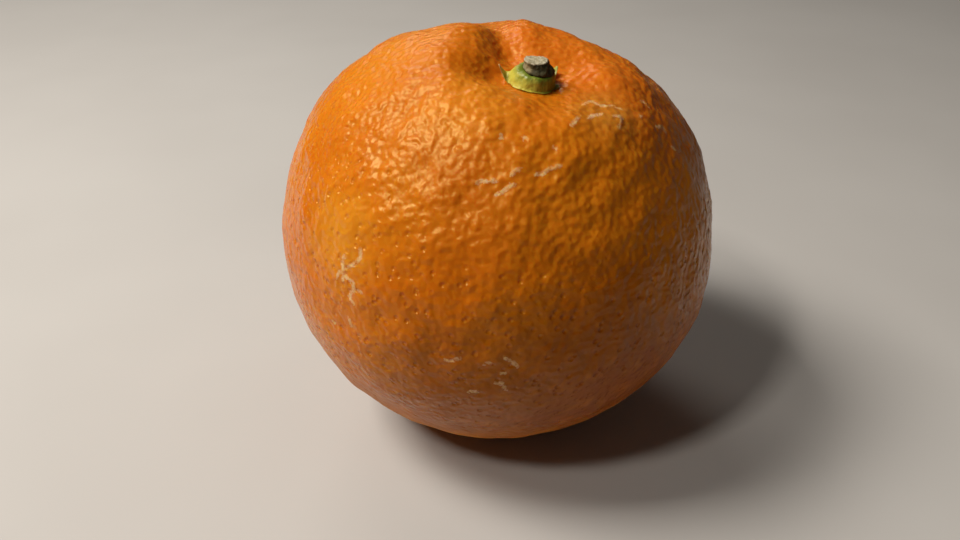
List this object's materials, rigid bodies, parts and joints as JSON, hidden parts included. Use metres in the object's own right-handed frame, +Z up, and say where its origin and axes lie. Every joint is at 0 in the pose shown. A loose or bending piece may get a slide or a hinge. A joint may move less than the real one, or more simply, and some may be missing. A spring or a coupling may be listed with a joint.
{
  "type": "orange",
  "caption": "Whole ripe orange with pebbled peel, a furrowed hollow at the stem end, a green star-shaped calyx and a short cut stub of stem, resting tipped on a small flat spot.",
  "frame": {"origin": "middle of the flat spot that the fruit rests on", "axes": "+Z up, away from the surface that the fruit lies on; the stem leans 19.9 degrees from +Z, towards +X and -Y; -Y faces the viewer of the picture"},
  "size_m": [0.0823, 0.0821, 0.0797],
  "materials": {
    "peel": "waxy pebbled orange peel, satin, with pale scars",
    "calyx": "fleshy green, yellow towards its rim, dull",
    "stem": "dark woody bark with a pale grey-green cut face"
  },
  "bodies": {
    "root": {"fruit": "peel", "calyx": "calyx", "stem_stub": "stem"}
  },
  "joints": []
}
